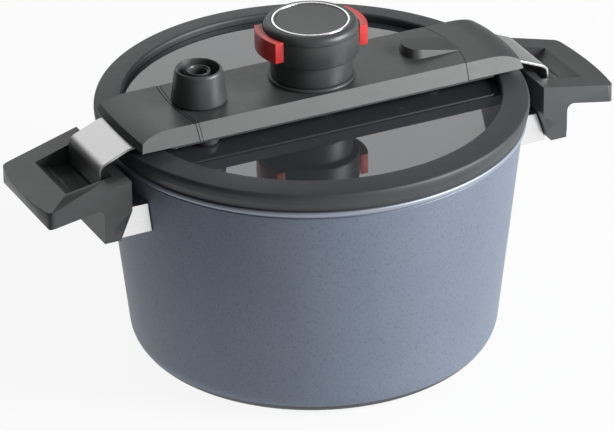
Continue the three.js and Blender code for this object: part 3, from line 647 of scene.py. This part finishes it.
# ---- Knob --------------------------------------------------------------------------------------
def make_knob():
    turned("collar", "knob_collar", [
        (19, 172.3), (25.9, 172.3), (25.9, 173.2, 0.3), (25.4, 173.7, 0.3), (24.9, 173.4, 0.1),
        (24.7, 173.7, 0.1), (19, 173.7),
    ])
    turned("pedestal", "knob_pedestal", [
        (4.4, 184.8), (21.4, 184.8), (21.4, 174), (24, 174, 0.2), (24.4, 174.5, 0.3),
        (24.4, 187.8, 0.3), (4.4, 187.8),
    ])
    turned("knob_drum", "knob_body", [
        (4.1, 188.1), (KNOB_R, 188.1, 1.1), (KNOB_R, 202.85, 0.12), (24, 202.85), (24, 191.6),
        (9, 191.6), (9, 197.6), (2.4, 197.6), (2.4, 194.3), (4.1, 194.3),
    ])
    turned("knob_lid", "knob_cap", [
        (0, 203), (20.4, 203), (20.4, 200.6), (23.6, 200.6), (23.6, 203),
        (28.3, 203, 0.12), (28, 206, 1.2), (26, KNOB_TOP, 1.4),
        (23.5, KNOB_TOP, 0.15), (23.5, 206.9), (21.5, 206.9), (21.5, KNOB_TOP - 0.1, 0.2),
        (20.6, KNOB_TOP - 0.25, 0.3), (0, KNOB_TOP - 0.3),
    ], steps=FINE)
    turned("bright_ring", "knob_trim_ring", [
        (21.7, 207.2), (23.3, 207.2), (23.3, 208.5, 0.35), (21.7, 208.5, 0.35),
    ], steps=FINE)
    make_wings()


def make_wings():
    """The two red grips on the knob: parts of a ring, cut off square at both ends."""
    corners = [
        (WING_INNER, WING_BOTTOM), (WING_OUTER, WING_BOTTOM),
        (WING_OUTER, WING_TOP), (WING_INNER, WING_TOP),
    ]
    half_angle = 0.6  # a little more than the cut ends need
    for side, turn in (("right", 0), ("left", math.pi)):
        bm = bmesh.new()
        face = bm.faces.new([bm.verts.new((r, 0, z)) for r, z in corners])
        bmesh.ops.rotate(bm, verts=bm.verts, matrix=Matrix.Rotation(turn - half_angle, 3, "Z"))
        bmesh.ops.spin(
            bm, geom=[face, *face.edges, *face.verts], cent=(0, 0, 0), axis=(0, 0, 1),
            angle=2 * half_angle, steps=24, use_merge=False,
        )
        for end in (-1, 1):
            bmesh.ops.bisect_plane(
                bm, geom=bm.verts[:] + bm.edges[:] + bm.faces[:], plane_co=(0, end * WING_HALF, 0),
                plane_no=(0, end, 0), clear_outer=True,
            )
            bmesh.ops.holes_fill(bm, edges=[e for e in bm.edges if e.is_boundary], sides=0)
        bmesh.ops.recalc_face_normals(bm, faces=bm.faces)
        soften(bm, 0.8, steps=3, least_angle=40)
        finish_piece(bm, "red_wing_" + side, "grip_wing_" + side)


# ---- Steam valve -------------------------------------------------------------------------------
def make_valve():
    at = (VALVE_X, 0)
    turned("valve_cap", "valve_cone", [
        (5.2, 172.4), (16, 172.4, 0.3), (16.6, 173.2, 0.4), (14.2, 191.6, 0.7), (13.1, 192.8, 0.5),
        (12.4, 192.4, 0.3), (11, 180, 0.8), (7, 180, 0.4), (7, 191.3, 0.3), (6.3, 191.3, 0.2),
        (5.9, 190.2, 0.2), (5.2, 190.2, 0.2),
    ], at=at)
    turned("pressure_pin", "valve_pin", [
        (0, 147), (2.2, 147, 0.4), (2.2, 176.8), (4.5, 176.8, 0.3), (4.5, 183.4, 0.8), (0, 184),
    ], steps=32, at=at)
    turned("vent_stem", "valve_stem", [
        (2.6, 144), (4.9, 144, 0.4), (4.9, 157), (10, 157, 0.3), (10, 159.4, 0.3), (4.9, 159.4),
        (4.9, 176.4, 0.3), (2.6, 176.4),
    ], steps=40, at=at)
    turned("vent_gasket", "valve_gasket", [
        (5.3, 155.8), (9.6, 155.8, 0.3), (9.6, 156.7, 0.3), (5.3, 156.7),
    ], steps=40, at=at)


# ---- Nodes kept as they are --------------------------------------------------------------------
def finish_nodes():
    """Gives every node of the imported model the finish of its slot."""
    for name, node in frame["nodes"].items():
        node.data.materials.clear()
        node.data.materials.append(FINISHES[SLOT_OF[name]])


make_pot()
make_base_plate()
make_handles()
make_lid()
make_bar()
make_hooks()
make_knob()
make_valve()
finish_nodes()


# ---- Studio ------------------------------------------------------------------------------------
def make_floor():
    bpy.ops.mesh.primitive_plane_add(size=24)
    floor = bpy.context.object
    floor.name = "floor"
    floor.data.materials.append(Finish("floor_paper", {
        "Base Color": (0.07, 0.07, 0.07, 1),
        "Roughness": 0.9,
        "Specular IOR Level": 0.0,
        "Emission Color": (1, 1, 1, 1),
        "Emission Strength": 0.9,
    }).material)


def make_dark_card():
    """A black card that stands on the left, out of the camera's sight, and shades that side."""
    tall, wide, middle = 0.5, 1.2, (-0.36, 0, 0.25)
    bpy.ops.mesh.primitive_plane_add(size=1)
    card = bpy.context.object
    card.name = "dark_card"
    upright = Matrix.Rotation(math.pi / 2, 4, "Y") @ Matrix.Diagonal((tall, wide, 1, 1))
    card.data.transform(Matrix.Translation(middle) @ upright)
    card.data.materials.append(Finish("card_black", {"Base Color": (0.01, 0.01, 0.01, 1)}).material)
    card.visible_camera = False


def softbox(name, azimuth, elevation, distance, size, power):
    """A rectangular soft light. Azimuth 0 is in front of the bar, and 90 is on its +X side."""
    aim = Vector((0, 0, 0.1))
    a, e = math.radians(azimuth), math.radians(elevation)
    away = Vector((math.sin(a) * math.cos(e), -math.cos(a) * math.cos(e), math.sin(e)))
    light = bpy.data.lights.new(name, "AREA")
    light.shape = "RECTANGLE"
    light.size, light.size_y = size
    light.energy = power
    lamp = bpy.data.objects.new(name, light)
    lamp.location = aim + away * distance
    lamp.rotation_euler = away.to_track_quat("Z", "Y").to_euler()
    lamp.visible_camera = False
    bpy.context.scene.collection.objects.link(lamp)


def make_world(strength):
    """A white room: full white behind the object, and a softer light on it."""
    world = bpy.data.worlds.new("room")
    bpy.context.scene.world = world
    world.use_nodes = True
    tree = world.node_tree
    background = tree.nodes["Background"]
    background.inputs["Color"].default_value = (1, 1, 1, 1)
    path = tree.nodes.new("ShaderNodeLightPath")
    level = tree.nodes.new("ShaderNodeMapRange")
    level.inputs["To Min"].default_value = strength
    level.inputs["To Max"].default_value = 1.0
    tree.links.new(path.outputs["Is Camera Ray"], level.inputs["Value"])
    tree.links.new(level.outputs[0], background.inputs["Strength"])


def make_camera():
    azimuth, elevation, roll = math.radians(-25.7), math.radians(27.63), math.radians(-0.6)
    distance, target = 3.008, Vector((0, 0, 0.08))
    back = Vector((
        math.sin(azimuth) * math.cos(elevation),
        -math.cos(azimuth) * math.cos(elevation),
        math.sin(elevation),
    ))
    camera = bpy.data.cameras.new("camera")
    camera.sensor_width = 36
    camera.lens = 294.85
    camera.shift_x = -0.0095
    camera.shift_y = -0.0047
    camera.clip_end = 50
    holder = bpy.data.objects.new("camera", camera)
    right = Vector((math.cos(azimuth), math.sin(azimuth), 0))
    up = back.cross(right)
    turn = Matrix((right, up, back)).transposed() @ Matrix.Rotation(roll, 3, "Z")
    holder.matrix_world = Matrix.Translation(target + back * distance) @ turn.to_4x4()
    bpy.context.scene.collection.objects.link(holder)
    bpy.context.scene.camera = holder


make_camera()
make_floor()
make_dark_card()
make_world(0.26)
softbox("key", 48, 21, 3.0, (1.6, 1.6), 176)
softbox("back", 180, 28, 2.4, (2.4, 1.5), 14.5)
bpy.context.scene.view_settings.view_transform = "Standard"
